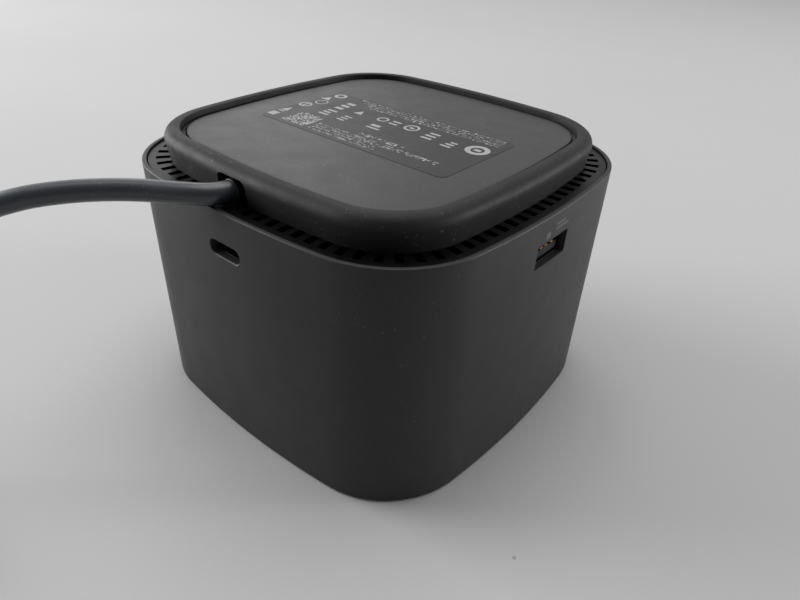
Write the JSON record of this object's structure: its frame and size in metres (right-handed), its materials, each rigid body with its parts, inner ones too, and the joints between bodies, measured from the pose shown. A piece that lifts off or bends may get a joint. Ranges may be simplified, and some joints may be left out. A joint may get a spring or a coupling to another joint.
{
  "type": "docking station",
  "caption": "Squircle tower docking station standing base up on its top cover, with slotted vent ledge, foot ring, rear socket panel, power button and captive lead with plug.",
  "frame": {"origin": "centre of the top cover's outer face, which lies on the surface: the dock is stored turned over, with its base up, as it is seen; its rest position in use is the same part turned half a turn about X or Y", "axes": "+Z out of the base, up as stored; -Y towards the face that the captive lead leaves, with the small socket; +X towards the face with the large socket; +Y towards the rear socket panel; -X towards the power button"},
  "size_m": [0.1182, 0.2307, 0.071],
  "materials": {
    "soft_touch_shell": "soft-touch matte dark grey",
    "cover_plastic": "fine matte",
    "ledge_plastic": "fine matte",
    "inner_plastic": "moulded black",
    "foot_rubber": "smooth matte, faintly dusty",
    "base_plastic": "fine spark-eroded texture",
    "label_film": "printed film, satin",
    "screw_steel": "zinc plated",
    "ballast_steel": "plain",
    "board_laminate": "solder mask",
    "chip_epoxy": "moulded epoxy",
    "pad_silicone": "soft",
    "fin_aluminium": "extruded",
    "shield_steel": "tin plated",
    "fan_plastic": "moulded black",
    "bearing_bronze": "sintered",
    "socket_steel": "drawn sheet, plated",
    "socket_plastic": "moulded black",
    "contact_gold": "plated",
    "panel_plastic": "fine matte",
    "button_plastic": "satin",
    "light_pipe": "frosted clear",
    "connector_nylon": "natural",
    "cord_jacket": "smooth satin jacket",
    "tie_fabric": "hook and loop",
    "plug_plastic": "satin overmould"
  },
  "bodies": {
    "dock": {"housing_sleeve": "soft_touch_shell", "top_cover": "cover_plastic", "vent_ring": "ledge_plastic", "base_frame": "inner_plastic", "foot_skirt": "foot_rubber", "base_cover": "base_plastic", "rating_label": "label_film", "base_screws": "screw_steel", "ballast_plate": "ballast_steel", "chassis": "inner_plastic", "cover_screws": "screw_steel", "main_board": "board_laminate", "processor_chip": "chip_epoxy", "board_parts": "chip_epoxy", "thermal_pad": "pad_silicone", "heat_sink": "fin_aluminium", "shield_can": "shield_steel", "fan_frame": "fan_plastic", "fan_bearing": "bearing_bronze", "fan_screws": "screw_steel", "small_socket_shell": "socket_steel", "small_socket_tongue": "socket_plastic", "large_socket_shell": "socket_steel", "large_socket_tongue": "socket_plastic", "large_socket_contacts": "contact_gold", "port_board": "board_laminate", "board_link": "socket_plastic", "rear_panel": "panel_plastic", "ethernet_jack": "shield_steel", "ethernet_contacts": "contact_gold", "power_jack": "socket_plastic", "power_jack_pin": "contact_gold", "display_sockets": "socket_steel", "display_tongues": "socket_plastic", "video_socket": "socket_steel", "video_tongue": "socket_plastic", "rear_socket_shells": "socket_steel", "rear_socket_tongues": "socket_plastic", "audio_jack": "socket_plastic", "power_switch": "socket_plastic", "switch_board": "board_laminate", "status_light": "light_pipe", "lock_plate": "ballast_steel", "strain_relief": "cord_jacket", "inner_lead": "cord_jacket", "lead_connector": "connector_nylon", "cable_clamp": "inner_plastic", "clamp_screws": "screw_steel", "cable": "cord_jacket", "cable_coil": "cord_jacket", "cable_tail": "cord_jacket", "cable_tie": "tie_fabric", "cable_plug": "plug_plastic", "plug_shell": "socket_steel"},
    "fan_rotor": {"fan_rotor": "fan_plastic", "fan_shaft": "screw_steel"},
    "power_button": {"power_button": "button_plastic", "switch_plunger": "inner_plastic"}
  },
  "joints": [
    {"name": "fan_spin", "type": "hinge", "parent": "dock", "child": "fan_rotor", "pos_m": [0, -0.002, 0.0157], "axis": [0, 0, 1], "continuous": true},
    {"name": "button_press", "type": "slide", "parent": "dock", "child": "power_button", "axis": [1, 0, 0], "range_m": [0, 0.0005], "stiffness_N_per_m": 1200, "springref_m": -0.0004}
  ]
}
